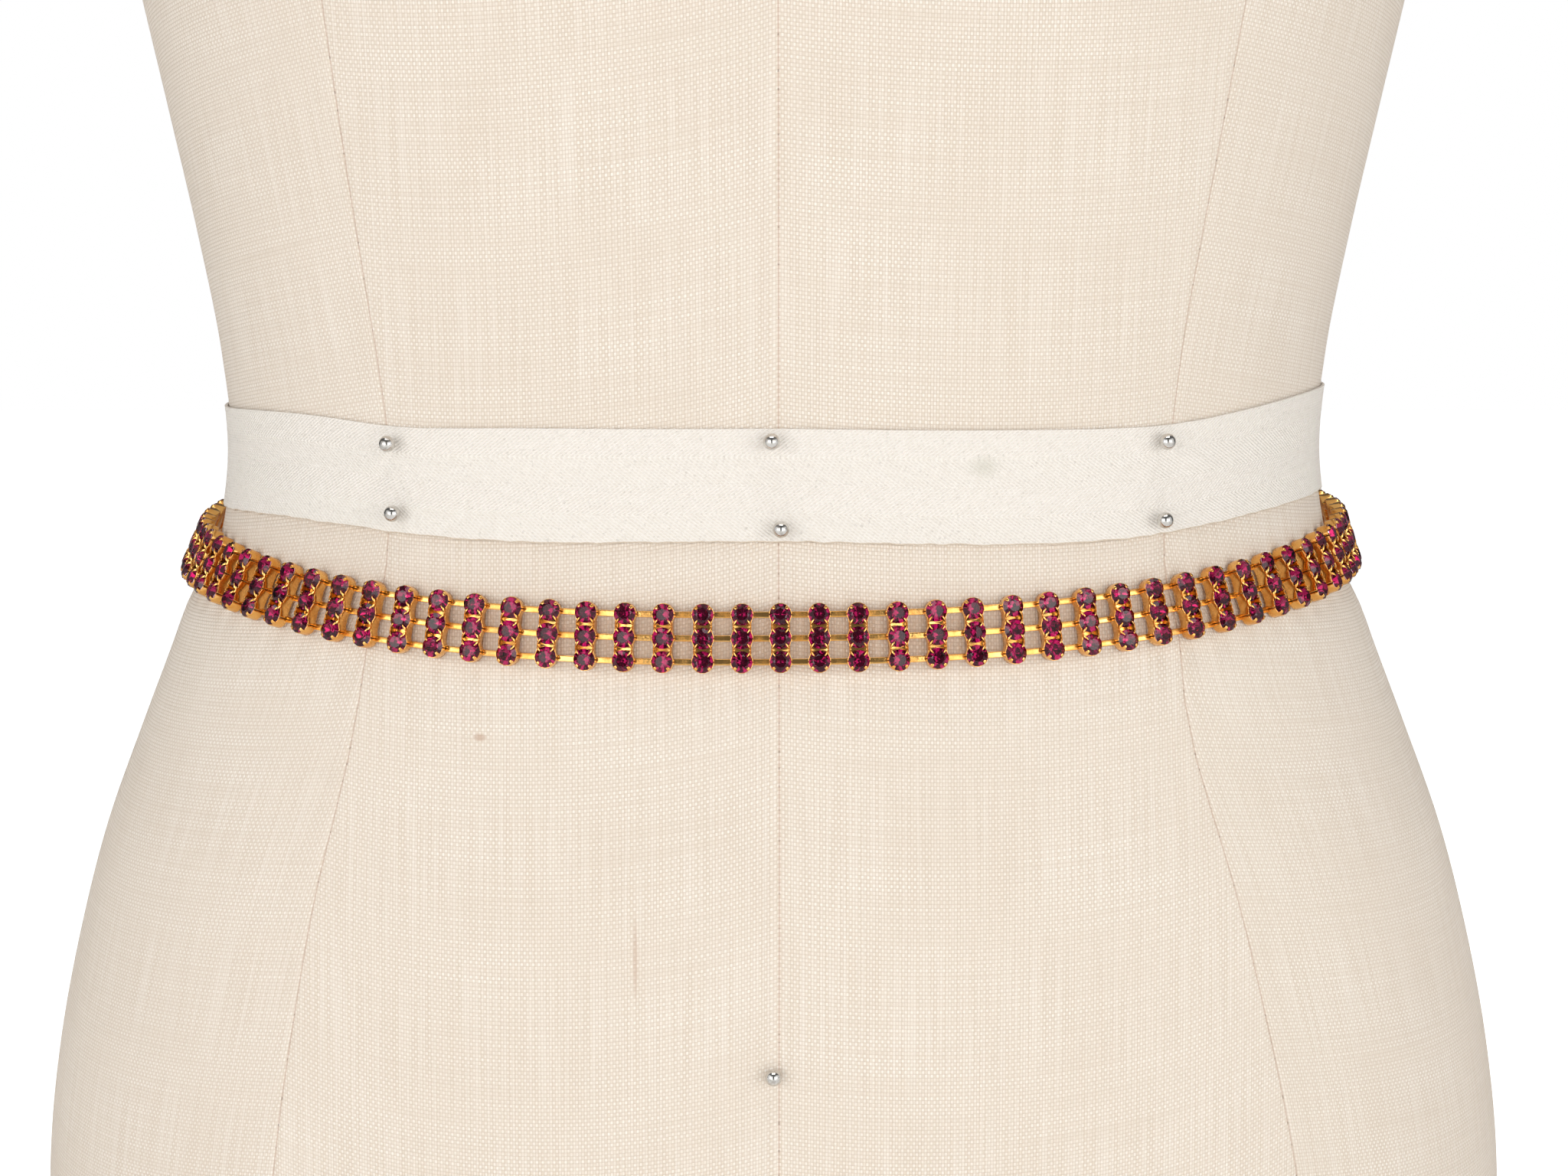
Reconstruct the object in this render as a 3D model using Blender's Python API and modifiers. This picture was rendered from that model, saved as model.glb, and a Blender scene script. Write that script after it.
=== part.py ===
"""Three-row rhinestone belt fastened round the waist of a linen dress form.

Lengths are in metres and +Z is up. The form faces -Y and stands on its base at Z = 0.
"""

import math

import bmesh
import bpy
import numpy as np
from mathutils import Matrix, Vector

# Dress form: horizontal sections from the base to the neck
FORM_COLUMNS = ("height", "half_width", "half_depth", "centre_y", "squareness")
FORM_SECTIONS = (
    (0.000, 0.1820, 0.1120, 0.006, 2.30),
    (0.060, 0.1900, 0.1180, 0.006, 2.30),
    (0.120, 0.1976, 0.1225, 0.004, 2.30),
    (0.150, 0.1967, 0.1215, 0.004, 2.32),
    (0.180, 0.1923, 0.1195, 0.003, 2.35),
    (0.210, 0.1854, 0.1165, 0.002, 2.38),
    (0.240, 0.1764, 0.1125, 0.001, 2.42),
    (0.265, 0.1667, 0.1085, 0.001, 2.44),
    (0.285, 0.1584, 0.1050, 0.000, 2.45),
    (0.298, 0.1532, 0.1029, 0.000, 2.45),
    (0.312, 0.1453, 0.1007, 0.000, 2.45),
    (0.322, 0.1429, 0.0993, 0.000, 2.45),
    (0.334, 0.1412, 0.0980, 0.000, 2.45),
    (0.360, 0.1428, 0.0985, 0.000, 2.44),
    (0.390, 0.1478, 0.1015, 0.000, 2.42),
    (0.420, 0.1537, 0.1050, -0.001, 2.38),
    (0.460, 0.1614, 0.1125, -0.003, 2.30),
    (0.510, 0.1680, 0.1220, -0.007, 2.25),
    (0.560, 0.1720, 0.1140, -0.004, 2.30),
    (0.615, 0.1760, 0.0980, 0.002, 2.40),
    (0.660, 0.1680, 0.0820, 0.007, 2.40),
    (0.690, 0.1400, 0.0720, 0.010, 2.30),
    (0.712, 0.0980, 0.0640, 0.010, 2.15),
    (0.732, 0.0680, 0.0590, 0.008, 2.00),
    (0.752, 0.0580, 0.0560, 0.006, 2.00),
    (0.775, 0.0550, 0.0540, 0.004, 2.00),
)
FORM_RINGS = (
    0.000, 0.060, 0.120, 0.165, 0.205, 0.240, 0.268, 0.280, 0.292, 0.304, 0.316, 0.328,
    0.342, 0.362, 0.400, 0.450, 0.510, 0.560, 0.615, 0.660, 0.695, 0.725, 0.775,
)
FORM_SIDES = 36
SEAM_GAP = 0.0003

# Tape and belt dip at the centre front, climb within this distance behind it, and are level from there
CLIMB_LENGTH = 0.045

# Twill tape at the waist, whose ends meet at the centre back
TAPE_HEIGHT = 0.334
TAPE_CLIMB = 0.0045
TAPE_ROLL = 0.007
TAPE_WIDTH = 0.0254
TAPE_THICKNESS = 0.0010
TAPE_CLEARANCE = 0.0006

# Ball-headed pins: place across the form, and height above the middle of the tape
PIN_DIAMETER = 0.0038
PIN_COLUMNS = ("name", "facing", "across", "above_tape")
PINS = (
    ("pin_left_upper", "front", -0.0862, 0.0075),
    ("pin_left_lower", "front", -0.0845, -0.0083),
    ("pin_centre_upper", "front", -0.0004, 0.0095),
    ("pin_centre_lower", "front", 0.0016, -0.0100),
    ("pin_right_upper", "front", 0.0880, 0.0067),
    ("pin_right_lower", "front", 0.0868, -0.0112),
    ("pin_back_left", "back", 0.0060, 0.0000),
    ("pin_back_right", "back", -0.0060, 0.0000),
)
HEM_PIN_HEIGHT = 0.2020

# Belt path round the form, which it stands well off at the flat of each side
BELT_HEIGHT = 0.2996
BELT_CLIMB = 0.0148
BELT_ROLL = 0.007
BELT_TURN = 0.0023
BELT_CLEARANCE = 0.0009
SIDE_SLACK = 0.0040
SLACK_MIDDLE = math.radians(95)
SLACK_SPREAD = math.radians(19.5)

# Belt columns: three stone cups in one strip of metal, joined to the next column by three flat links
COLUMN_COUNT = 93
COLUMN_PITCH = 0.00872
STRETCH_COUNT = 12
ROW_PITCH = 0.0053
ROWS = (-1, 0, 1)
CUP_WIDTH = 0.0052
CUP_DEPTH = 0.0030
NECK_WIDTH = 0.0042
CROWN_WIDTH = 0.0011
CROWN_RISE = 0.0009
LINK_HEIGHT = 0.0011
LINK_THICKNESS = 0.0009

# Closure at the centre back: an eye on one end of the belt and a hook on the other
END_BAR_WIDTH = 0.0025
END_BAR_HEIGHT = 0.0150
EYE_HEIGHT = 0.0100
EYE_WIRE = 0.0012
HOOK_HEIGHT = 0.0060
HOOK_THICKNESS = 0.0007

LINEN = ((0.78, 0.70, 0.59), 0.9, 0.0)
TWILL = ((0.86, 0.82, 0.74), 0.85, 0.0)
STEEL = ((0.72, 0.72, 0.73), 0.15, 1.0)
GOLD = ((0.83, 0.55, 0.16), 0.22, 1.0)
AMETHYST = ((0.16, 0.01, 0.10), 0.05, 0.0)


def clear_scene():
    for item in list(bpy.data.objects):
        bpy.data.objects.remove(item, do_unlink=True)


def make_material(name, finish):
    colour, roughness, metallic = finish
    material = bpy.data.materials.new(name)
    material.use_nodes = True
    shader = material.node_tree.nodes["Principled BSDF"]
    shader.inputs["Base Color"].default_value = (*colour, 1.0)
    shader.inputs["Roughness"].default_value = roughness
    shader.inputs["Metallic"].default_value = metallic
    return material


def add_object(name, bm, collection, *materials):
    bmesh.ops.recalc_face_normals(bm, faces=bm.faces[:])
    mesh = bpy.data.meshes.new(name)
    bm.to_mesh(mesh)
    bm.free()
    for material in materials:
        mesh.materials.append(material)
    item = bpy.data.objects.new(name, mesh)
    collection.objects.link(item)
    return item


# Surface of the form

def form_size(column, height):
    """One column of the section table at any height, on a smooth curve through its rows."""
    table = np.array(FORM_SECTIONS)
    heights = table[:, 0]
    values = table[:, FORM_COLUMNS.index(column)]
    slopes = np.gradient(values, heights)
    row = int(np.clip(np.searchsorted(heights, height) - 1, 0, len(heights) - 2))
    step = heights[row + 1] - heights[row]
    t = (height - heights[row]) / step
    start = (2 * t ** 3 - 3 * t ** 2 + 1) * values[row] + (t ** 3 - 2 * t ** 2 + t) * step * slopes[row]
    end = (3 * t ** 2 - 2 * t ** 3) * values[row + 1] + (t ** 3 - t ** 2) * step * slopes[row + 1]
    return float(start + end)


def signed_power(value, exponent):
    return math.copysign(abs(value) ** exponent, value)


def form_point(angle, height, clearance=0.0):
    """A point on the form, moved out by the clearance. Angle 0 is the front and +90 degrees is +X."""
    exponent = 2 / form_size("squareness", height)
    half_width = form_size("half_width", height) + clearance
    half_depth = form_size("half_depth", height) + clearance
    x = half_width * signed_power(math.sin(angle), exponent)
    y = form_size("centre_y", height) - half_depth * signed_power(math.cos(angle), exponent)
    return Vector((x, y, height))


def angle_across(across, height, facing):
    """The angle at which the front or the back of the form is that far from its middle."""
    ratio = across / form_size("half_width", height)
    angle = math.asin(signed_power(ratio, form_size("squareness", height) / 2))
    return angle if facing == "front" else math.pi - angle


def climbing_height(angle, height, climb, roll):
    """Height of a band that dips at the centre front and tilts a little to one side."""
    front = form_point(0.0, height)
    here = form_point(angle, height)
    climbed = 1.0 - math.exp((front.y - here.y) / CLIMB_LENGTH)
    return height + climb * climbed + roll * here.x


def running_length(points):
    steps = [(b - a).length for a, b in zip(points, points[1:])]
    return np.concatenate([[0.0], np.cumsum(steps)])


def side_angles():
    """Angles of the form's sides, even at the waist, from the centre back round to it again."""
    angles = np.linspace(-math.pi, math.pi, 481)
    lengths = running_length([form_point(angle, TAPE_HEIGHT) for angle in angles])
    return np.interp(np.linspace(0.0, lengths[-1], FORM_SIDES + 1), lengths, angles)


# Dress form

def add_dress_form(collection):
    bm = bmesh.new()
    angles = side_angles()[:-1]
    rings = [[bm.verts.new(form_point(angle, height)) for angle in angles] for height in FORM_RINGS]
    for lower, upper in zip(rings, rings[1:]):
        for side in range(FORM_SIDES):
            after = (side + 1) % FORM_SIDES
            bm.faces.new((lower[side], lower[after], upper[after], upper[side]))
    bm.faces.new(rings[0])
    bm.faces.new(rings[-1])
    form = add_object("dress_form", bm, collection, make_material("linen", LINEN))
    form.data.shade_smooth()
    form.data.set_sharp_from_angle(angle=math.radians(50))


# Waist tape and pins

def tape_height(angle):
    return climbing_height(angle, TAPE_HEIGHT, TAPE_CLIMB, TAPE_ROLL)


def add_waist_tape(collection):
    bm = bmesh.new()
    angles = side_angles()
    end_trim = SEAM_GAP / form_size("half_width", TAPE_HEIGHT)
    angles[0] += end_trim
    angles[-1] -= end_trim
    grid = []
    for above in (-TAPE_WIDTH / 2, 0.0, TAPE_WIDTH / 2):
        points = [form_point(angle, tape_height(angle) + above, TAPE_CLEARANCE) for angle in angles]
        grid.append([bm.verts.new(point) for point in points])
    for lower, upper in zip(grid, grid[1:]):
        for side in range(FORM_SIDES):
            bm.faces.new((lower[side], lower[side + 1], upper[side + 1], upper[side]))
    tape = add_object("waist_tape", bm, collection, make_material("cotton twill", TWILL))
    wall = tape.modifiers.new("tape thickness", "SOLIDIFY")
    wall.thickness = TAPE_THICKNESS
    wall.offset = 1.0


def add_pin(name, centre, collection, material):
    bpy.ops.mesh.primitive_uv_sphere_add(segments=8, ring_count=4, radius=PIN_DIAMETER / 2, location=centre)
    pin = bpy.context.object
    pin.name = name
    for owner in list(pin.users_collection):
        owner.objects.unlink(pin)
    collection.objects.link(pin)
    pin.data.materials.append(material)
    pin.data.shade_smooth()


def add_pins(collection):
    material = make_material("steel", STEEL)
    on_form = PIN_DIAMETER / 2 + SEAM_GAP
    on_tape = TAPE_CLEARANCE + TAPE_THICKNESS + on_form
    for name, facing, across, above in PINS:
        angle = angle_across(across, TAPE_HEIGHT, facing)
        add_pin(name, form_point(angle, tape_height(angle) + above, on_tape), collection, material)
    add_pin("pin_hem_centre", form_point(0.0, HEM_PIN_HEIGHT, on_form), collection, material)


# Belt path

def belt_point(angle, above=0.0):
    """A point in the middle of the links, or above it on the same slope of the form."""
    height = climbing_height(angle, BELT_HEIGHT, BELT_CLIMB, BELT_ROLL)
    from_side = (abs(angle) - SLACK_MIDDLE) / SLACK_SPREAD
    stand_off = BELT_CLEARANCE + SIDE_SLACK * math.exp(-from_side ** 2)
    return form_point(angle, height + above, stand_off + LINK_THICKNESS / 2)


def path_frame(angle):
    """Axes at a place on the belt: X along it, Y up the form and Z out of it."""
    small = 0.002
    along = (belt_point(angle + small) - belt_point(angle - small)).normalized()
    rising = belt_point(angle, small) - belt_point(angle, -small)
    out = along.cross(rising).normalized()
    axes = Matrix((along, out.cross(along), out)).transposed()
    return Matrix.Translation(belt_point(angle)) @ axes.to_4x4()


def belt_frames():
    """The frame of each column, and the length of belt left over for the closure."""
    angles = np.linspace(-math.pi, math.pi, 1441)
    lengths = running_length([belt_point(angle) for angle in angles])
    closure = lengths[-1] - (COLUMN_COUNT - 1) * COLUMN_PITCH
    starts = closure / 2 + BELT_TURN + np.arange(COLUMN_COUNT) * COLUMN_PITCH
    frames = [path_frame(angle) for angle in np.interp(starts, lengths, angles)]
    back = path_frame(np.interp(BELT_TURN % lengths[-1], lengths, angles))
    return frames, back, closure


# Belt columns

def cup_outline(column, row):
    """Eight corners of one cup: flats for the links at its sides, and necks to the cups above and below."""
    side = CUP_WIDTH / 2
    neck = NECK_WIDTH / 2
    end = ROW_PITCH / 2
    flat = LINK_HEIGHT / 2
    quarter = ((side, flat), (neck, end), (-neck, end), (-side, flat))
    corners = quarter + tuple((-x, -y) for x, y in quarter)
    return [Vector((x + column * COLUMN_PITCH, y + row * ROW_PITCH, 0.0)) for x, y in corners]


def link_columns(bm):
    """Join the side flats of neighbouring columns, and draw half a link out of each end of the stretch."""
    half_link = (COLUMN_PITCH - CUP_WIDTH - SEAM_GAP) / 2
    for row in ROWS:
        flats = [face for face in bm.faces if abs(face.normal.x) > 0.99
                 and abs(face.calc_center_median().y - row * ROW_PITCH) < LINK_HEIGHT]
        flats.sort(key=lambda face: face.calc_center_median().x)
        for end in (flats[0], flats[-1]):
            out = end.normal.x * half_link
            drawn = bmesh.ops.extrude_discrete_faces(bm, faces=[end])["faces"][0]
            bmesh.ops.translate(bm, verts=drawn.verts[:], vec=(out, 0.0, 0.0))
        for near, far in zip(flats[1:-1:2], flats[2:-1:2]):
            rims = near.edges[:] + far.edges[:]
            bmesh.ops.delete(bm, geom=[near, far], context="FACES_ONLY")
            bmesh.ops.bridge_loops(bm, edges=rims)


def raise_cups(bm, tops):
    """Draw the cup walls up from the link layer, and clear the edges this leaves across flat walls."""
    borders = list({edge for face in tops for edge in face.edges})
    grown = bmesh.ops.extrude_face_region(bm, geom=tops + borders)["geom"]
    rims = [item for item in grown if isinstance(item, bmesh.types.BMVert)]
    bmesh.ops.translate(bm, verts=rims, vec=(0.0, 0.0, CUP_DEPTH - LINK_THICKNESS))
    bm.normal_update()
    spare = [edge for edge in bm.edges if len(edge.link_faces) == 2
             and all(abs(vert.co.z - LINK_THICKNESS / 2) < 1e-6 for vert in edge.verts)
             and edge.link_faces[0].normal.dot(edge.link_faces[1].normal) > 0.999]
    bmesh.ops.dissolve_edges(bm, edges=spare, use_verts=True)
    return [item for item in grown if isinstance(item, bmesh.types.BMFace)]


def add_stretch(name, columns, frames, collection, materials):
    bm = bmesh.new()
    owner = bm.verts.layers.int.new("column")
    for column in columns:
        for row in ROWS:
            corners = [bm.verts.new(corner) for corner in cup_outline(column, row)]
            bm.faces.new(corners)
            for corner in corners:
                corner[owner] = column
    bmesh.ops.remove_doubles(bm, verts=bm.verts[:], dist=0.00001)
    bmesh.ops.translate(bm, verts=bm.verts[:], vec=(0.0, 0.0, -LINK_THICKNESS / 2))
    grown = bmesh.ops.extrude_face_region(bm, geom=bm.faces[:], use_keep_orig=True)["geom"]
    rims = [item for item in grown if isinstance(item, bmesh.types.BMVert)]
    bmesh.ops.translate(bm, verts=rims, vec=(0.0, 0.0, LINK_THICKNESS))
    bmesh.ops.recalc_face_normals(bm, faces=bm.faces[:])
    tops = [face for face in bm.faces if face.normal.z > 0.99]
    link_columns(bm)
    stones = raise_cups(bm, tops)
    crowns = bmesh.ops.inset_individual(bm, faces=stones, thickness=CROWN_WIDTH, depth=CROWN_RISE)["faces"]
    for face in stones + crowns:
        face.material_index = 1
    for vert in bm.verts:
        shift = Vector((vert[owner] * COLUMN_PITCH, 0.0, 0.0))
        vert.co = frames[vert[owner]] @ (vert.co - shift)
    add_object(name, bm, collection, *materials)


def add_belt(frames, collection):
    materials = (make_material("gold-plated brass", GOLD), make_material("amethyst glass", AMETHYST))
    stretches = np.array_split(np.arange(COLUMN_COUNT), STRETCH_COUNT)
    for number, columns in enumerate(stretches, start=1):
        add_stretch(f"belt_{number:02d}", [int(column) for column in columns], frames, collection, materials)


# Closure

def add_block(bm, low, high):
    """A box between two corners."""
    low = Vector(low)
    high = Vector(high)
    size = Matrix.Diagonal(high - low).to_4x4()
    bmesh.ops.create_cube(bm, size=1.0, matrix=Matrix.Translation((low + high) / 2) @ size)


def cut_outline(name, outline, height, frame, collection, material):
    """A flat strip shape, seen from above, drawn out evenly to its height."""
    bm = bmesh.new()
    face = bm.faces.new([bm.verts.new((x, -height / 2, z)) for x, z in outline])
    grown = bmesh.ops.extrude_face_region(bm, geom=[face], use_keep_orig=True)["geom"]
    rims = [item for item in grown if isinstance(item, bmesh.types.BMVert)]
    bmesh.ops.translate(bm, verts=rims, vec=(0.0, height, 0.0))
    item = add_object(name, bm, collection, material)
    item.matrix_world = frame
    return item


def join_box(item, low, high, operation, tools):
    """Add a box to the item, or cut one out of it."""
    bm = bmesh.new()
    add_block(bm, low, high)
    tool = add_object(f"{item.name}_{operation.lower()}", bm, tools)
    tool.matrix_world = item.matrix_world.copy()
    tool.hide_render = True
    tool.display_type = "WIRE"
    join = item.modifiers.new(operation.lower(), "BOOLEAN")
    join.operation = operation
    join.object = tool


def add_closure(back, closure, collection, tools):
    """The eye's end bar is on the last column, at -X of this frame, and the hook's on the first, at +X."""
    material = make_material("gold-plated clasp", GOLD)
    base = -LINK_THICKNESS / 2
    top = base + CUP_DEPTH
    link_end = CUP_WIDTH / 2 + (COLUMN_PITCH - CUP_WIDTH - SEAM_GAP) / 2
    bar_outer = closure / 2 - link_end - SEAM_GAP
    bar_inner = bar_outer - END_BAR_WIDTH
    under = base + HOOK_THICKNESS
    wire_low = under + SEAM_GAP
    wire_high = wire_low + EYE_WIRE
    over = wire_high + SEAM_GAP

    eye_bar = ((-bar_outer, base), (-bar_inner, base), (-bar_inner, top), (-bar_outer, top))
    eye = cut_outline("eye_end", eye_bar, END_BAR_HEIGHT, back, collection, material)
    loop_low = (-bar_inner - EYE_WIRE, -EYE_HEIGHT / 2, wire_low)
    join_box(eye, loop_low, (EYE_WIRE / 2, EYE_HEIGHT / 2, wire_high), "UNION", tools)
    slot_high = (-EYE_WIRE / 2, EYE_HEIGHT / 2 - EYE_WIRE, top)
    join_box(eye, (-bar_inner, EYE_WIRE - EYE_HEIGHT / 2, base), slot_high, "DIFFERENCE", tools)

    turn = -EYE_WIRE / 2 - SEAM_GAP
    tip = bar_inner / 2
    hook_outline = (
        (tip, base), (tip, under), (turn, under), (turn, over), (bar_inner, over),
        (bar_inner, base), (bar_outer, base), (bar_outer, top),
        (bar_inner, over + HOOK_THICKNESS), (turn - HOOK_THICKNESS, over + HOOK_THICKNESS),
        (turn - HOOK_THICKNESS, base),
    )
    hook = cut_outline("hook_end", hook_outline, END_BAR_HEIGHT, back, collection, material)
    for side in (-1, 1):
        edges = (side * HOOK_HEIGHT / 2, side * END_BAR_HEIGHT)
        low = (turn - 2 * HOOK_THICKNESS, min(edges), base - CUP_DEPTH)
        join_box(hook, low, (bar_inner, max(edges), top + CUP_DEPTH), "DIFFERENCE", tools)


def build():
    clear_scene()
    collection = bpy.data.collections.new("rhinestone belt on dress form")
    tools = bpy.data.collections.new("cutters")
    for item in (collection, tools):
        bpy.context.scene.collection.children.link(item)
    frames, back, closure = belt_frames()
    add_dress_form(collection)
    add_waist_tape(collection)
    add_pins(collection)
    add_belt(frames, collection)
    add_closure(back, closure, collection, tools)


build()
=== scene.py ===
"""Looks of a three-row rhinestone belt hooked round a linen dress form.

Lengths are in metres unless named mm.
"""

import math
import random

import bmesh
import bpy
import numpy as np
from mathutils import Euler, Matrix, Vector


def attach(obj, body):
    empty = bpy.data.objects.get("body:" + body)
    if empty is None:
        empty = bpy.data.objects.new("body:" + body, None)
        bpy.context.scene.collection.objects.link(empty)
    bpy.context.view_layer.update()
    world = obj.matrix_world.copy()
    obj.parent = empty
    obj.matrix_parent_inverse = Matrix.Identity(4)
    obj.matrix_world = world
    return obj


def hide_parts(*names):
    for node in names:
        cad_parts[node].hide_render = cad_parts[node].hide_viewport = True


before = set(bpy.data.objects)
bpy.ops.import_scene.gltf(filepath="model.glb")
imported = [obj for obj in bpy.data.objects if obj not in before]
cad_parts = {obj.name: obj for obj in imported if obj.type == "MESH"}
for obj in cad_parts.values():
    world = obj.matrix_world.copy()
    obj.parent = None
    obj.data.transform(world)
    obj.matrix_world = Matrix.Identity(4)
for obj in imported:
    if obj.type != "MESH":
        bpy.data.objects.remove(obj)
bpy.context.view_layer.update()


# Camera
# It stands straight in front of the form, 0.6 m from its middle and a little above the waist, and looks
# slightly down, so the belt is seen from just above. The form's middle is a few pixels left of the centre.
CAMERA_PLACE = (0.0, -0.600, 0.37895)
CAMERA_TILT = math.radians(7.8)
FOCAL_LENGTH = 51.44
SENSOR_WIDTH = 36.0
FRAMING_SHIFT = 13.7 / 2048

bpy.ops.object.select_all(action="DESELECT")
bpy.ops.object.camera_add(location=CAMERA_PLACE, rotation=(math.pi / 2 - CAMERA_TILT, 0.0, 0.0))
camera = bpy.context.object
camera.name = "camera"
camera.data.sensor_width = SENSOR_WIDTH
camera.data.lens = FOCAL_LENGTH
camera.data.shift_x = FRAMING_SHIFT
camera.data.clip_start = 0.01
bpy.context.scene.camera = camera


# Dress form cover
# Linen cut in eight panels and sewn from neck to base, drawn tight over the padded torso and turned under at
# the base and the neck. The panels meet in fine seams that sit in a shallow furrow.
FORM_COLUMNS = ("height", "half_width", "half_depth", "centre_y", "squareness")
FORM_SECTIONS = (
    (0.000, 0.1820, 0.1120, 0.006, 2.30),
    (0.060, 0.1900, 0.1180, 0.006, 2.30),
    (0.120, 0.1976, 0.1225, 0.004, 2.30),
    (0.150, 0.1967, 0.1215, 0.004, 2.32),
    (0.180, 0.1923, 0.1195, 0.003, 2.35),
    (0.210, 0.1854, 0.1165, 0.002, 2.38),
    (0.240, 0.1764, 0.1125, 0.001, 2.42),
    (0.265, 0.1667, 0.1085, 0.001, 2.44),
    (0.285, 0.1584, 0.1050, 0.000, 2.45),
    (0.298, 0.1532, 0.1029, 0.000, 2.45),
    (0.312, 0.1453, 0.1007, 0.000, 2.45),
    (0.322, 0.1429, 0.0993, 0.000, 2.45),
    (0.334, 0.1412, 0.0980, 0.000, 2.45),
    (0.360, 0.1428, 0.0985, 0.000, 2.44),
    (0.390, 0.1478, 0.1015, 0.000, 2.42),
    (0.420, 0.1537, 0.1050, -0.001, 2.38),
    (0.460, 0.1614, 0.1125, -0.003, 2.30),
    (0.510, 0.1680, 0.1220, -0.007, 2.25),
    (0.560, 0.1720, 0.1140, -0.004, 2.30),
    (0.615, 0.1760, 0.0980, 0.002, 2.40),
    (0.660, 0.1680, 0.0820, 0.007, 2.40),
    (0.690, 0.1400, 0.0720, 0.010, 2.30),
    (0.712, 0.0980, 0.0640, 0.010, 2.15),
    (0.732, 0.0680, 0.0590, 0.008, 2.00),
    (0.752, 0.0580, 0.0560, 0.006, 2.00),
    (0.775, 0.0550, 0.0540, 0.004, 2.00),
)
FORM_HEIGHT = 0.775
TURNED_EDGE = 0.004
EDGE_ROWS = (0.0, 0.0006, 0.0018, 0.0040)
BODY_START = 0.008
BODY_ROWS = 172
END_INSET = 0.004
END_RECESS = 0.0004
WELD_DISTANCE = 0.000001
TOUCHING = 0.0001

# Seams from the centre back round to it again, as angles in degrees. The two front ones swing, so they have
# an angle for each of these heights.
SEAM_HEIGHTS = (0.000, 0.170, 0.255, 0.270, 0.283, 0.295, 0.320, 0.345, 0.371, 0.402, 0.440, 0.775)
LEFT_PRINCESS = (-35.0, -33.7, -32.2, -32.1, -32.4, -32.9, -34.0, -34.7, -35.5, -35.8, -35.8, -36.0)
RIGHT_PRINCESS = (36.5, 36.0, 32.3, 31.8, 32.0, 32.9, 34.7, 36.4, 36.9, 37.6, 38.3, 38.5)
SEAMS = (-180.0, -144.0, -90.0, LEFT_PRINCESS, 0.15, RIGHT_PRINCESS, 90.0, 144.0, 180.0)
PANEL_COLUMNS = (16, 20, 24, 24, 24, 24, 20, 16)
PANEL_STEPS = 60

# A seam lies in a furrow with a soft ridge along each side, and its columns of faces are narrow
SEAM_SIDE_MM = (0.0, 0.35, 0.8, 1.8, 3.5)
FURROW_DEPTH_MM = 0.10
FURROW_WIDTH_MM = 0.45
RIDGE_RISE_MM = 0.08
RIDGE_WIDTH_MM = 0.8
RIDGE_PLACE_MM = 1.3

# Rows of threads don't run level: their slope beside each panel's inner seam, and how fast it falls, per mm.
# Each panel is cut from another part of the cloth, and those beside the centre front follow its seam.
PANEL_SLOPES = (
    (0.06, 0.0010), (0.04, 0.0006), (0.10, 0.0012), (0.27, 0.0044),
    (0.13, 0.0036), (0.10, 0.0012), (0.04, 0.0006), (0.06, 0.0010),
)
CLOTH_STEP_MM = 400
FRONT_PANELS = (3, 4)


def form_size(column, heights):
    """One column of the section table at any height, on a smooth curve through its rows."""
    table = np.array(FORM_SECTIONS)
    known = table[:, 0]
    values = table[:, FORM_COLUMNS.index(column)]
    slopes = np.gradient(values, known)
    rows = np.clip(np.searchsorted(known, heights) - 1, 0, len(known) - 2)
    step = known[rows + 1] - known[rows]
    t = (heights - known[rows]) / step
    start = (2 * t ** 3 - 3 * t ** 2 + 1) * values[rows] + (t ** 3 - 2 * t ** 2 + t) * step * slopes[rows]
    end = (3 * t ** 2 - 2 * t ** 3) * values[rows + 1] + (t ** 3 - t ** 2) * step * slopes[rows + 1]
    return start + end


def signed_power(values, exponent):
    return np.sign(values) * np.abs(values) ** exponent


def form_points(angles, heights, clearance=0.0):
    """Points on the form, moved out by the clearance. Angle 0 is the front and +90 degrees is +X."""
    angles, heights, clearance = np.broadcast_arrays(angles, heights, clearance)
    exponent = 2 / form_size("squareness", heights)
    across = form_size("half_width", heights) + clearance
    deep = form_size("half_depth", heights) + clearance
    x = across * signed_power(np.sin(angles), exponent)
    y = form_size("centre_y", heights) - deep * signed_power(np.cos(angles), exponent)
    return np.stack((x, y, heights), axis=-1)


def lay_grid(name, places):
    """A grid of quads whose corners are laid on the given places, in rows from low to high."""
    rows, columns = places.shape[0] - 1, places.shape[1] - 1
    bpy.ops.object.select_all(action="DESELECT")
    bpy.ops.mesh.primitive_grid_add(x_subdivisions=columns, y_subdivisions=rows, size=1.0)
    item = bpy.context.object
    item.name = name
    item.data.name = name
    flat = np.zeros(len(item.data.vertices) * 3)
    item.data.vertices.foreach_get("co", flat)
    flat = flat.reshape(-1, 3)
    column = np.rint((flat[:, 0] + 0.5) * columns).astype(int)
    row = np.rint((flat[:, 1] + 0.5) * rows).astype(int)
    item.data.vertices.foreach_set("co", places[row, column].ravel())
    corners = np.zeros(len(item.data.loops), dtype=int)
    item.data.loops.foreach_get("vertex_index", corners)
    cell = np.repeat(column[corners].reshape(-1, 4).min(axis=1), 4)
    return item, row[corners], cell, column[corners] - cell


def write_uv(item, name, across, up):
    """A UV map in millimetres, one value for each corner."""
    layer = item.data.uv_layers.get(name) or item.data.uv_layers.new(name=name)
    layer.uv.foreach_set("vector", np.stack((across, up), axis=-1).astype(np.float32).ravel())


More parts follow.
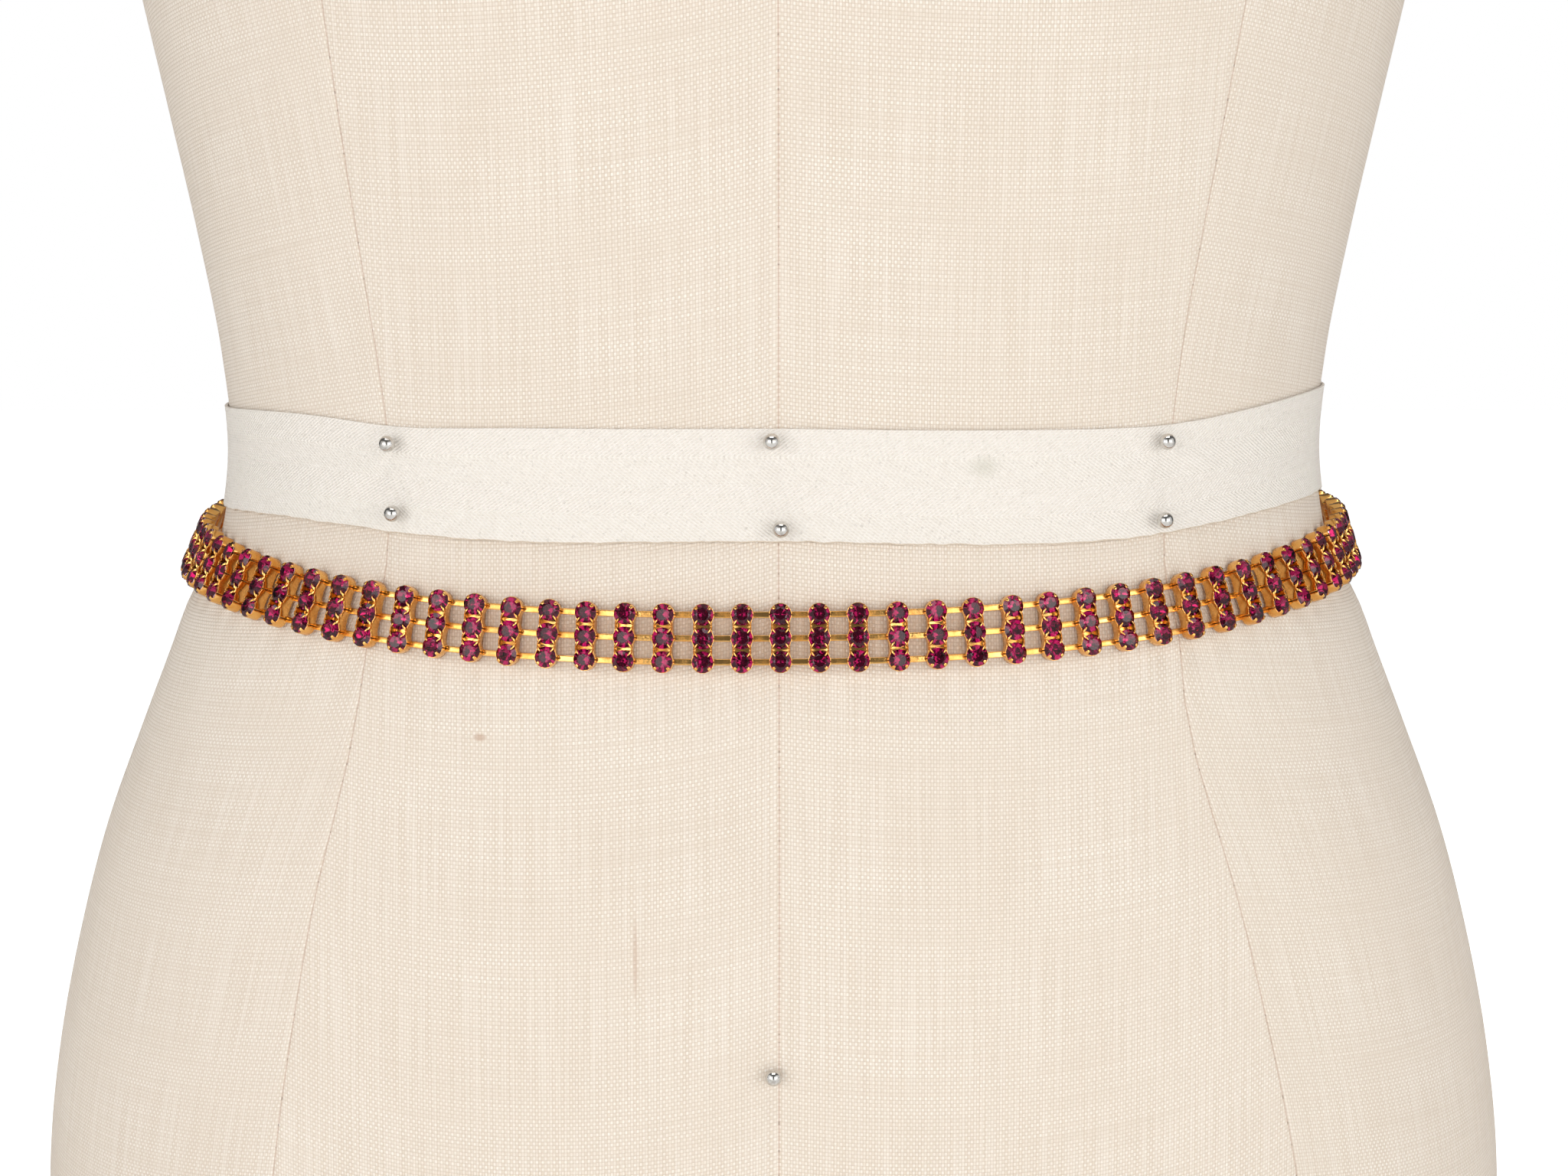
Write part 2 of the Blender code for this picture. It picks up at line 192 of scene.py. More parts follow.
def select_only(item, kind, wanted):
    """In edit mode, select the faces or edges that pass the test on themselves and their middle."""
    bpy.ops.mesh.select_mode(type={"faces": "FACE", "edges": "EDGE"}[kind])
    bpy.ops.mesh.select_all(action="DESELECT")
    bm = bmesh.from_edit_mesh(item.data)
    for part in getattr(bm, kind):
        middle = sum((vert.co for vert in part.verts), Vector()) / len(part.verts)
        if wanted(part, middle):
            part.select_set(True)
    bmesh.update_edit_mesh(item.data)


body_rows = np.linspace(BODY_START, FORM_HEIGHT - BODY_START, BODY_ROWS)
edge_rows = np.array(EDGE_ROWS)
ring_heights = np.concatenate((edge_rows, body_rows, FORM_HEIGHT - edge_rows[::-1]))
to_edge = np.minimum(ring_heights, FORM_HEIGHT - ring_heights)
turned = TURNED_EDGE - np.sqrt(TURNED_EDGE ** 2 - np.clip(TURNED_EDGE - to_edge, 0, None) ** 2)

cover_places = []
cell_edges = []
panel_of_cell = []
seam_sides = np.array(SEAM_SIDE_MM)
side_columns = len(SEAM_SIDE_MM) - 1
seam_angles = [np.radians(np.interp(ring_heights, SEAM_HEIGHTS, seam) if isinstance(seam, tuple)
                          else np.full(len(ring_heights), seam)) for seam in SEAMS]
for panel, count in enumerate(PANEL_COLUMNS):
    share = np.linspace(0.0, 1.0, PANEL_STEPS + 1)
    angles = seam_angles[panel][:, None] * (1 - share) + seam_angles[panel + 1][:, None] * share
    points = form_points(angles, ring_heights[:, None])
    steps = np.linalg.norm(np.diff(points, axis=1), axis=2)
    lengths = np.concatenate((np.zeros((len(steps), 1)), np.cumsum(steps, axis=1)), axis=1) * 1000
    width = lengths[:, -1]
    for column in range(count + 2 * side_columns + 1):
        if column <= side_columns:
            across = np.full(len(width), seam_sides[column])
        elif column >= count + side_columns:
            across = width - seam_sides[count + 2 * side_columns - column]
        else:
            across = seam_sides[-1] + (width - 2 * seam_sides[-1]) * (column - side_columns) / count
        angle = np.array([np.interp(here, row_lengths, row_angles)
                          for here, row_lengths, row_angles in zip(across, lengths, angles)])
        near = np.minimum(across, width - across)
        ridge = RIDGE_RISE_MM * np.exp(-((near - RIDGE_PLACE_MM) / RIDGE_WIDTH_MM) ** 2)
        relief = ridge - FURROW_DEPTH_MM * np.exp(-(near / FURROW_WIDTH_MM) ** 2)
        if column > 0 or panel == 0:
            cover_places.append(form_points(angle, ring_heights, relief / 1000 - turned))
        if column > 0:
            panel_of_cell.append(panel)
            cell_edges.append((previous, (across, width, near)))
        previous = (across, width, near)
places = np.stack(cover_places, axis=1)
rises = np.linalg.norm(np.diff(places, axis=0), axis=2)
risen = np.concatenate((np.zeros((1, places.shape[1])), np.cumsum(rises, axis=0))) * 1000

cover, row, cell, side = lay_grid("linen_cover", places)
measures = np.array(cell_edges)
across = measures[cell, side, 0, row]
width = measures[cell, side, 1, row]
near = measures[cell, side, 2, row]
panels = np.array(panel_of_cell)[cell]
slopes = np.array(PANEL_SLOPES)[panels]
inner = np.where(panels < len(PANEL_COLUMNS) // 2, width - across, across)
weave_up = risen[row, cell + side] + slopes[:, 0] * inner - slopes[:, 1] * inner ** 2 / 2
weave_across = np.where(np.isin(panels, FRONT_PANELS), inner, inner - width / 2) + CLOTH_STEP_MM * panels
write_uv(cover, "weave", weave_across, weave_up)
write_uv(cover, "seam", near, risen[row, cell + side])

bpy.ops.object.mode_set(mode="EDIT")
bpy.ops.mesh.select_all(action="SELECT")
bpy.ops.mesh.remove_doubles(threshold=WELD_DISTANCE)
for end in (0.0, FORM_HEIGHT):
    select_only(cover, "edges", lambda edge, middle: edge.is_boundary and abs(middle.z - end) < TOUCHING)
    bpy.ops.mesh.edge_face_add()
    bpy.ops.mesh.inset(thickness=END_INSET, depth=-END_RECESS)
bpy.ops.object.mode_set(mode="OBJECT")
bpy.ops.object.shade_smooth_by_angle(angle=math.radians(60))


def linear(code):
    """An sRGB hex colour as the linear colour that a shader takes."""
    parts = [int(code[place:place + 2], 16) / 255 for place in (0, 2, 4)]
    return [part / 12.92 if part <= 0.04045 else ((part + 0.055) / 1.055) ** 2.4 for part in parts] + [1.0]


def add_node(material, kind, inputs, **settings):
    """One node with its settings; each input is a value or another node's output."""
    node = material.node_tree.nodes.new(kind)
    for name, value in settings.items():
        setattr(node, name, value)
    for place, value in inputs.items():
        if isinstance(value, bpy.types.NodeSocket):
            material.node_tree.links.new(value, node.inputs[place])
        else:
            node.inputs[place].default_value = value
    return node.outputs


def new_material(name):
    material = bpy.data.materials.new(name)
    material.use_nodes = True
    material.node_tree.nodes.clear()
    return material


# Plain-weave linen of about 15 by 12 threads to the centimetre. Each thread rises where it passes over and
# leaves a small dark gap where four meet, and some are thicker or paler, which streaks the cloth both ways.
WARP_SPACING_MM = 0.66
WEFT_SPACING_MM = 0.86
WEFT_STREAK = (0.02, 1.1, 0.0)
WARP_STREAK = (1.4, 0.025, 0.0)
YARN_LIGHT = linear("FAF2E8")
YARN_WARM = linear("E6D8C8")
GAP_COLOUR = linear("CBB8A2")
SEAM_COLOUR = linear("BD957A")
STITCH_COLOUR = linear("6B5546")

linen = new_material("plain-weave linen")
weave = add_node(linen, "ShaderNodeUVMap", {}, uv_map="weave")[0]
turns = (math.pi / WARP_SPACING_MM, math.pi / WEFT_SPACING_MM, 0.0)
phases = add_node(linen, "ShaderNodeVectorMath", {0: weave, 1: turns}, operation="MULTIPLY")[0]
waves = add_node(linen, "ShaderNodeVectorMath", {0: phases}, operation="SINE")[0]
wave = add_node(linen, "ShaderNodeSeparateXYZ", {0: waves})
crossing = add_node(linen, "ShaderNodeMath", {0: wave[0], 1: wave[1]}, operation="MULTIPLY")[0]
lump = add_node(linen, "ShaderNodeMath", {0: crossing}, operation="ABSOLUTE")[0]
weft_over = add_node(linen, "ShaderNodeMapRange", {0: crossing, 1: -0.1, 2: 0.7})[0]
weft_place = add_node(linen, "ShaderNodeVectorMath", {0: weave, 1: WEFT_STREAK}, operation="MULTIPLY")[0]
weft_tone = add_node(linen, "ShaderNodeTexNoise", {"Vector": weft_place, "Scale": 1.0, "Detail": 2.0})[0]
warp_place = add_node(linen, "ShaderNodeVectorMath", {0: weave, 1: WARP_STREAK}, operation="MULTIPLY")[0]
warp_tone = add_node(linen, "ShaderNodeTexNoise", {"Vector": warp_place, "Scale": 1.0, "Detail": 2.0})[0]
tone = add_node(linen, "ShaderNodeMix", {0: weft_over, 2: warp_tone, 3: weft_tone})[0]
slub = add_node(linen, "ShaderNodeMapRange", {0: tone, 1: 0.3, 2: 0.7, 3: -0.22, 4: 0.55})[0]
lit = add_node(linen, "ShaderNodeMath", {0: weft_over, 1: 0.60, 2: slub}, operation="MULTIPLY_ADD",
               use_clamp=True)[0]
cloud = add_node(linen, "ShaderNodeTexNoise", {"Vector": weave, "Scale": 0.035, "Detail": 3.0})[0]
age = add_node(linen, "ShaderNodeMapRange", {0: cloud, 1: 0.3, 2: 0.7, 3: 0.0, 4: 0.35})[0]
yarn = add_node(linen, "ShaderNodeMix", {0: lit, 6: YARN_WARM, 7: YARN_LIGHT}, data_type="RGBA")[2]
aged = add_node(linen, "ShaderNodeMix", {0: age, 6: yarn, 7: YARN_WARM}, data_type="RGBA")[2]
gap = add_node(linen, "ShaderNodeMapRange", {0: lump, 1: 0.0, 2: 0.4, 3: 0.42, 4: 0.0})[0]
cloth = add_node(linen, "ShaderNodeMix", {0: gap, 6: aged, 7: GAP_COLOUR}, data_type="RGBA")[2]

# Sewn seams: a thin tan line with a darker dot at some of the stitches
seam = add_node(linen, "ShaderNodeUVMap", {}, uv_map="seam")[0]
seam_parts = add_node(linen, "ShaderNodeSeparateXYZ", {0: seam})
line = add_node(linen, "ShaderNodeMapRange", {0: seam_parts[0], 1: 0.05, 2: 0.28, 3: 0.50, 4: 0.0})[0]
sewn = add_node(linen, "ShaderNodeMix", {0: line, 6: cloth, 7: SEAM_COLOUR}, data_type="RGBA")[2]
stitch_wave = add_node(linen, "ShaderNodeTexNoise", {"Vector": seam, "Scale": 0.75, "Detail": 1.0})[0]
stitch = add_node(linen, "ShaderNodeMapRange", {0: stitch_wave, 1: 0.59, 2: 0.68, 3: 0.0, 4: 1.0})[0]
dot = add_node(linen, "ShaderNodeMath", {0: stitch, 1: line}, operation="MULTIPLY")[0]
surface = add_node(linen, "ShaderNodeMix", {0: dot, 6: sewn, 7: STITCH_COLOUR}, data_type="RGBA")[2]

# Faint marks of use: middle, half size and strength of a brown scuff low on the left, and of a small spot
MARKS = (
    ((-0.0311, -0.1121, 0.2277), (0.0006, 0.02, 0.0100), 0.32),
    ((-0.0666, -0.1009, 0.2764), (0.0016, 0.02, 0.0010), 0.50),
)
place = add_node(linen, "ShaderNodeTexCoord", {})["Object"]
for middle, half_size, strength in MARKS:
    from_mark = add_node(linen, "ShaderNodeVectorMath", {0: place, 1: middle}, operation="SUBTRACT")[0]
    scaled = add_node(linen, "ShaderNodeVectorMath", {0: from_mark, 1: half_size}, operation="DIVIDE")[0]
    reach = add_node(linen, "ShaderNodeVectorMath", {0: scaled}, operation="LENGTH")["Value"]
    faint = add_node(linen, "ShaderNodeMapRange", {0: reach, 1: 0.5, 2: 1.1, 3: strength, 4: 0.0})[0]
    surface = add_node(linen, "ShaderNodeMix", {0: faint, 6: surface, 7: SEAM_COLOUR}, data_type="RGBA")[2]

raised = add_node(linen, "ShaderNodeMath", {0: lump, 1: 0.5}, operation="POWER")[0]
thread_bump = add_node(linen, "ShaderNodeBump", {"Height": raised, "Distance": 0.00022, "Strength": 0.7})[0]
linen_shader = add_node(linen, "ShaderNodeBsdfPrincipled", {
    "Base Color": surface, "Roughness": 0.88, "Specular IOR Level": 0.25,
    "Sheen Weight": 0.12, "Sheen Roughness": 0.5, "Normal": thread_bump})[0]
add_node(linen, "ShaderNodeOutputMaterial", {"Surface": linen_shader})

cover.data.materials.append(linen)
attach(cover, "root")
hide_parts("dress_form")


# Waist tape
# One-inch cotton tape, woven in a herringbone of four bands, laid round the waist and held by pins. Its edges
# are woven, the lower one a little frayed, and it puckers slightly where the pins pull it in.
TAPE_HEIGHT = 0.334
TAPE_CLIMB = 0.0045
TAPE_ROLL = 0.007
CLIMB_LENGTH = 0.045
TAPE_WIDTH_MM = 25.4
TAPE_CLEARANCE = 0.0003
TAPE_THICKNESS = 0.0007
TAPE_COLUMNS = 640
TAPE_ROWS = 16
TAPE_END_GAP = 0.0016

# Between its pins the tape sags: angle in degrees, and the shifts of its upper and lower edge there in mm
EDGE_SHIFTS = (
    (-180, 0, 0), (-100, -1.4, -1.4), (-75, -1.8, -1.6), (-60, -0.4, 0), (-50, 0.1, 0.7),
    (-42, 0, 0.5), (-34, -1.9, -0.2), (-28, -1.4, -0.9), (-20, -0.6, -1.1), (0, -0.4, -0.4),
    (10, -1.3, -1.7), (19, -1.9, -2.5), (27, -2.4, -2.8), (35, -3.0, -2.0), (44, -1.2, -0.7),
    (53, 0.3, 0.4), (61, 1.4, 1.0), (68, 1.9, 1.2), (100, 1.6, 1.2), (180, 0, 0),
)
BLUR_STEPS = 41
FRAY_MM = 0.16
FRAY_START = 0.85

# Puckers fan out sideways from each pin round a small dimple, and a long soft fold runs between the pins
FAN_FOLDS = 9
FAN_RISE_MM = 0.16
FAN_START_MM = 4
FAN_REACH_MM = 16
DIMPLE_DEPTH_MM = 0.15
DIMPLE_REACH_MM = 3.0
FOLD_RISE_MM = 0.12
LOWEST_RELIEF_MM = -0.15
HIGHEST_RELIEF_MM = 0.5
PATH_STEPS = 1440

# Pins: side of the form, place across it, and height above the middle of the tape
PINS = {
    "pin_left_upper": ("front", -0.0862, 0.0075),
    "pin_left_lower": ("front", -0.0845, -0.0083),
    "pin_centre_upper": ("front", -0.0004, 0.0095),
    "pin_centre_lower": ("front", 0.0016, -0.0100),
    "pin_right_upper": ("front", 0.0880, 0.0067),
    "pin_right_lower": ("front", 0.0868, -0.0112),
    "pin_back_left": ("back", 0.0060, 0.0),
    "pin_back_right": ("back", -0.0060, 0.0),
}


def climbing_height(angles, height, climb, roll):
    """Height of a band that dips at the centre front and tilts a little to one side."""
    front = form_points(0.0, height)
    here = form_points(angles, height)
    climbed = 1.0 - np.exp((front[1] - here[..., 1]) / CLIMB_LENGTH)
    return height + climb * climbed + roll * here[..., 0]


def running_length(points):
    steps = np.linalg.norm(np.diff(points, axis=0), axis=1)
    return np.concatenate(([0.0], np.cumsum(steps)))


def angle_across(across, height, facing):
    """The angle at which the front or the back of the form is that far from its middle."""
    ratio = across / form_size("half_width", height)
    angle = math.asin(signed_power(ratio, form_size("squareness", height) / 2))
    return angle if facing == "front" else math.pi - angle


def tape_height(angles):
    return climbing_height(angles, TAPE_HEIGHT, TAPE_CLIMB, TAPE_ROLL)


draw = random.Random(7)
even = np.linspace(-math.pi + TAPE_END_GAP, math.pi - TAPE_END_GAP, PATH_STEPS + 1)
tape_lengths = running_length(form_points(even, tape_height(even), TAPE_CLEARANCE)) * 1000
along = np.linspace(0.0, tape_lengths[-1], TAPE_COLUMNS + 1)
tape_angles = np.interp(along, tape_lengths, even)
up = np.linspace(-0.5, 0.5, TAPE_ROWS + 1)[:, None] * TAPE_WIDTH_MM
fray = np.array([draw.gauss(0.0, FRAY_MM) for _ in along])
fray = np.convolve(fray, (0.25, 0.5, 0.25), mode="same")
edge_share = np.clip(-up / TAPE_WIDTH_MM * 2 - FRAY_START, 0.0, None) / (1 - FRAY_START)

edge_angles, *edge_shifts = np.array(EDGE_SHIFTS).T
blur = np.hanning(BLUR_STEPS) / np.hanning(BLUR_STEPS).sum()
even_shifts = [np.interp(np.degrees(tape_angles), edge_angles, shifts) for shifts in edge_shifts]
upper_shift, lower_shift = [np.convolve(np.pad(shifts, BLUR_STEPS // 2, mode="edge"), blur, mode="valid")
                            for shifts in even_shifts]
up_share = up / TAPE_WIDTH_MM + 0.5
above = up + upper_shift * up_share + lower_shift * (1 - up_share) + edge_share * fray

puckers = np.zeros((TAPE_ROWS + 1, TAPE_COLUMNS + 1))
for pin, (facing, across_form, pin_up) in PINS.items():
    pin_angle = angle_across(across_form, TAPE_HEIGHT, facing)
    pin_along = np.interp((pin_angle + math.pi) % (2 * math.pi) - math.pi, even, tape_lengths)
    sideways = along[None, :] - pin_along
    upwards = up - pin_up * 1000
    reach = np.hypot(sideways, upwards)
    turn = np.arctan2(upwards, np.abs(sideways) + 0.5)
    folds = np.cos(turn * FAN_FOLDS + draw.uniform(0, 6))
    fan = folds * (1 - np.exp(-(reach / FAN_START_MM) ** 2)) * np.exp(-reach / FAN_REACH_MM)
    puckers += FAN_RISE_MM * fan - DIMPLE_DEPTH_MM * np.exp(-(reach / DIMPLE_REACH_MM) ** 2)
fold = np.sin(along / 23.0 + up / 9.0) * np.sin(along / 61.0 + 1.0) * FOLD_RISE_MM
tape_out = TAPE_CLEARANCE + np.clip(puckers + fold, LOWEST_RELIEF_MM, HIGHEST_RELIEF_MM) / 1000
tape_places = form_points(tape_angles[None, :], tape_height(tape_angles)[None, :] + above / 1000, tape_out)

tape, row, cell, side = lay_grid("waist_tape_cloth", tape_places)
write_uv(tape, "weave", along[cell + side], up[row, 0])
wall = tape.modifiers.new("tape thickness", "SOLIDIFY")
wall.thickness = TAPE_THICKNESS
wall.offset = 1.0
bpy.ops.object.modifier_apply(modifier=wall.name)
bpy.ops.object.shade_smooth_by_angle(angle=math.radians(50))

# Bleached cotton twill: fine diagonal ribs, just over 1 mm apart, that turn back in each of four bands, over
# faint lines of the warp that run along the tape, and a thin tan line along the lower edge. The ribs and warp
# lines are painted darker between them, a painted shade of their relief, over random unevenness of the
# cotton.
BAND_WIDTH_MM = TAPE_WIDTH_MM / 4
RIB_LEAN = 1.35
RIB_SPACING_MM = 1.15
WARP_LINE_SPACING_MM = 0.62
LOWER_EDGE_LINE_MM = (-12.6, -12.3)
COTTON_LIGHT = linear("F5EFE7")
COTTON_PAINTED_RIB_SHADE = linear("E3D9CB")
COTTON_EDGE_TAN = linear("CBB498")
COTTON_STAIN = linear("B9B8A4")
COTTON_SPECK = linear("ADA59B")
STAIN_PLACE = (0.0475, -0.0962, 0.3375)
STAIN_SIZE = (0.0038, 0.02, 0.0026)

twill = new_material("cotton herringbone twill")
weave = add_node(twill, "ShaderNodeUVMap", {}, uv_map="weave")[0]
parts = add_node(twill, "ShaderNodeSeparateXYZ", {0: weave})
zigzag = add_node(twill, "ShaderNodeMath", {0: parts[1], 1: BAND_WIDTH_MM}, operation="PINGPONG")[0]
leaning = add_node(twill, "ShaderNodeMath", {0: zigzag, 1: RIB_LEAN}, operation="MULTIPLY")[0]
ribs_at = add_node(twill, "ShaderNodeMath", {0: parts[0], 1: leaning}, operation="ADD")[0]
rib_turns = add_node(twill, "ShaderNodeMath", {0: ribs_at, 1: 2 * math.pi / RIB_SPACING_MM},
                     operation="MULTIPLY")[0]
rib = add_node(twill, "ShaderNodeMath", {0: rib_turns}, operation="SINE")[0]
warp_turns = add_node(twill, "ShaderNodeMath", {0: parts[1], 1: 2 * math.pi / WARP_LINE_SPACING_MM},
                      operation="MULTIPLY")[0]
warp_line = add_node(twill, "ShaderNodeMath", {0: warp_turns}, operation="SINE")[0]
ribs = add_node(twill, "ShaderNodeMath", {0: warp_line, 1: 0.45, 2: rib}, operation="MULTIPLY_ADD")[0]
cotton_noise = add_node(twill, "ShaderNodeTexNoise", {"Vector": weave, "Scale": 0.5, "Detail": 4.0})[0]
uneven = add_node(twill, "ShaderNodeMath", {0: cotton_noise, 1: 3.0, 2: -1.5}, operation="MULTIPLY_ADD")[0]
rib_shade_and_unevenness = add_node(twill, "ShaderNodeMath", {0: ribs, 1: uneven}, operation="ADD")[0]
# Painted shade: darker colour between the ribs and warp lines stands in for the shade of their relief, with
# random unevenness of the cotton mixed in.
low = add_node(twill, "ShaderNodeMapRange", {0: rib_shade_and_unevenness, 1: -1.3, 2: 1.0, 3: 0.55, 4: 0.0})[0]
body = add_node(twill, "ShaderNodeMix", {0: low, 6: COTTON_LIGHT, 7: COTTON_PAINTED_RIB_SHADE}, data_type="RGBA")[2]
# A thin tan line along the lower edge of the tape.
lower_edge_line = add_node(twill, "ShaderNodeMapRange",
                   {0: parts[1], 1: LOWER_EDGE_LINE_MM[0], 2: LOWER_EDGE_LINE_MM[1], 3: 0.75, 4: 0.0})[0]
edged = add_node(twill, "ShaderNodeMix", {0: lower_edge_line, 6: body, 7: COTTON_EDGE_TAN}, data_type="RGBA")[2]
speck_noise = add_node(twill, "ShaderNodeTexNoise", {"Vector": weave, "Scale": 1.2, "Detail": 1.0})[0]
specks = add_node(twill, "ShaderNodeMapRange", {0: speck_noise, 1: 0.62, 2: 0.74, 3: 0.0, 4: 0.28})[0]
specked = add_node(twill, "ShaderNodeMix", {0: specks, 6: edged, 7: COTTON_SPECK}, data_type="RGBA")[2]
place = add_node(twill, "ShaderNodeTexCoord", {})["Object"]
from_stain = add_node(twill, "ShaderNodeVectorMath", {0: place, 1: STAIN_PLACE}, operation="SUBTRACT")[0]
scaled = add_node(twill, "ShaderNodeVectorMath", {0: from_stain, 1: STAIN_SIZE}, operation="DIVIDE")[0]
reach = add_node(twill, "ShaderNodeVectorMath", {0: scaled}, operation="LENGTH")["Value"]
stain = add_node(twill, "ShaderNodeMapRange", {0: reach, 1: 0.1, 2: 1.2, 3: 0.35, 4: 0.0})[0]
stained = add_node(twill, "ShaderNodeMix", {0: stain, 6: specked, 7: COTTON_STAIN}, data_type="RGBA")[2]
rib_bump = add_node(twill, "ShaderNodeBump", {"Height": ribs, "Distance": 0.00012, "Strength": 0.7})[0]
twill_shader = add_node(twill, "ShaderNodeBsdfPrincipled", {
    "Base Color": stained, "Roughness": 0.85, "Specular IOR Level": 0.25,
    "Sheen Weight": 0.10, "Sheen Roughness": 0.5, "Normal": rib_bump})[0]
add_node(twill, "ShaderNodeOutputMaterial", {"Surface": twill_shader})

tape.data.materials.append(twill)
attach(tape, "root")
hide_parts("waist_tape")


# Pins
# Dressmaker's pins of nickel-plated steel with a polished ball head. The shank is pushed through the tape and
# the linen into the padding, so only the ball stands on the cloth.
PIN_DIAMETER = 0.0038
PIN_GAP = 0.0003
CAD_TAPE_OUT = 0.0016
HEM_PIN_HEIGHT = 0.2020
SHANK_NARROWING = 0.6
SHANK_DEPTH = 0.0040
SMALL_STEP = 0.002
NICKEL_BRIGHT = linear("D9D7D4")
NICKEL_TARNISHED = linear("AAA49C")

nickel = new_material("polished nickel-plated steel")
place = add_node(nickel, "ShaderNodeTexCoord", {})["Object"]
rub = add_node(nickel, "ShaderNodeTexNoise", {"Vector": place, "Scale": 900.0, "Detail": 3.0})[0]
rubbed = add_node(nickel, "ShaderNodeMapRange", {0: rub, 1: 0.35, 2: 0.7, 3: 0.10, 4: 0.24})[0]
tarnish = add_node(nickel, "ShaderNodeMapRange", {0: rub, 1: 0.45, 2: 0.75})[0]
plate = add_node(nickel, "ShaderNodeMix",
                 {0: tarnish, 6: NICKEL_BRIGHT, 7: NICKEL_TARNISHED}, data_type="RGBA")[2]
nickel_shader = add_node(nickel, "ShaderNodeBsdfPrincipled",
                         {"Base Color": plate, "Metallic": 1.0, "Roughness": rubbed})[0]
add_node(nickel, "ShaderNodeOutputMaterial", {"Surface": nickel_shader})

bpy.ops.object.select_all(action="DESELECT")
bpy.ops.mesh.primitive_uv_sphere_add(segments=32, ring_count=20, radius=PIN_DIAMETER / 2)
ball = bpy.context.object
bpy.ops.object.mode_set(mode="EDIT")
select_only(ball, "faces", lambda face, middle: middle.z < -PIN_DIAMETER / 2 * 0.97)
bpy.ops.mesh.delete(type="FACE")
select_only(ball, "edges", lambda edge, middle: edge.is_boundary)
shank_start = -PIN_DIAMETER / 2 * 0.95
bpy.ops.mesh.extrude_region_move(TRANSFORM_OT_translate={"value": (0.0, 0.0, -0.0001)})
bpy.ops.transform.resize(value=(SHANK_NARROWING, SHANK_NARROWING, 1.0),
                         center_override=(0.0, 0.0, shank_start))
bpy.ops.mesh.extrude_region_move(TRANSFORM_OT_translate={"value": (0.0, 0.0, -SHANK_DEPTH)})
bpy.ops.mesh.merge(type="CENTER")
bpy.ops.object.mode_set(mode="OBJECT")
bpy.ops.object.shade_smooth_by_angle(angle=math.radians(40))
ball.data.materials.append(nickel)


def place_copy(item, name, matrix):
    """A copy with its own mesh, put in place within the mesh, so that its object stays at the origin."""
    copy = item.copy()
    copy.data = item.data.copy()
    copy.name = name
    copy.data.name = name
    copy.data.transform(matrix)
    bpy.context.scene.collection.objects.link(copy)
    return copy


def surface_frame(angle, height, clearance):
    """Axes at a place on the form: X round it, Y up it and Z out of it."""
    sideways = [form_points(angle + step, height, clearance) for step in (-SMALL_STEP, SMALL_STEP)]
    upwards = [form_points(angle, height + step, clearance) for step in (-SMALL_STEP, SMALL_STEP)]
    round_it = Vector(sideways[1] - sideways[0]).normalized()
    out = round_it.cross(Vector(upwards[1] - upwards[0])).normalized()
    axes = Matrix((round_it, out.cross(round_it), out)).transposed()
    return Matrix.Translation(Vector(form_points(angle, height, clearance))) @ axes.to_4x4()


pin_places = {"pin_hem_centre": (0.0, HEM_PIN_HEIGHT, PIN_DIAMETER / 2 + PIN_GAP)}
for name, (facing, across_form, pin_up) in PINS.items():
    angle = angle_across(across_form, TAPE_HEIGHT, facing)
    pin_places[name] = (angle, float(tape_height(angle)) + pin_up, CAD_TAPE_OUT + PIN_DIAMETER / 2 + PIN_GAP)
for name, (angle, height, clearance) in pin_places.items():
    pin = place_copy(ball, name.replace("pin_", "pin_head_"), surface_frame(angle, height, clearance))
    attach(pin, "root")
    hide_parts(name)
bpy.data.objects.remove(ball)


# Belt metal
# Gold-plated brass cup chain. A column is one stamped strip of three cups, each with a slot at its sides and
# four prongs bent over the stone, and flat links that pass through the slots join it to the next column.
BELT_HEIGHT = 0.2996
BELT_CLIMB = 0.0148
BELT_ROLL = 0.007
BELT_TURN = 0.0023
BELT_CLEARANCE = 0.0009
SIDE_SLACK = 0.0040
SLACK_MIDDLE = math.radians(95)
SLACK_SPREAD = math.radians(19.5)
LINK_THICKNESS = 0.0009
COLUMN_COUNT = 93
COLUMN_PITCH = 0.00872
STRETCH_COUNT = 12
ROW_PITCH = 0.0053
ROWS = (-1, 0, 1)
CUP_RADIUS = 0.00256
CUP_SIDES = 16
CUP_BACK = -LINK_THICKNESS / 2
CUP_RIM = 0.00225
SLOT_WIDTH = 0.00028
SHEET_THICKNESS = 0.00030
RIM_ROUNDING = 0.00008
NECK_REACH = 0.0010
STEM_REACH = 0.00135
ROOT_CUTS = (-0.00070, -0.00006, 0.00006, 0.00070)

# The stem at each side of a neck first rises as one piece, with this inward reach and rise. Then it parts
# into prongs with three bends: inward reach, rise and narrowing of each. The ends of a column have no stem.
STEM_BEND = (0.00004, 0.00042)
NECK_PRONG = ((0.00030, 0.00038, 0.94), (0.00052, 0.00024, 0.88), (0.00054, 0.00006, 0.62))
END_PRONG = ((0.00003, 0.00046, 0.80), (0.00022, 0.00036, 0.96), (0.00050, 0.00010, 0.72))
FLAT_LINK = (0.0052, 0.00140, 0.00042)
LINK_ROUNDING = 0.00012
LINK_DROP = -0.00012
COLUMN_SWAY = (1.6, 3.2, 1.0)
GOLD_BRIGHT = linear("F6C072")
GOLD_WORN = linear("E5A04C")


def belt_point(angle, above=0.0):
    """A point in the middle of the links, or above it on the same slope of the form."""
    height = climbing_height(angle, BELT_HEIGHT, BELT_CLIMB, BELT_ROLL)
    from_side = (abs(angle) - SLACK_MIDDLE) / SLACK_SPREAD
    stand_off = BELT_CLEARANCE + SIDE_SLACK * np.exp(-from_side ** 2)
    return form_points(angle, height + above, stand_off + LINK_THICKNESS / 2)


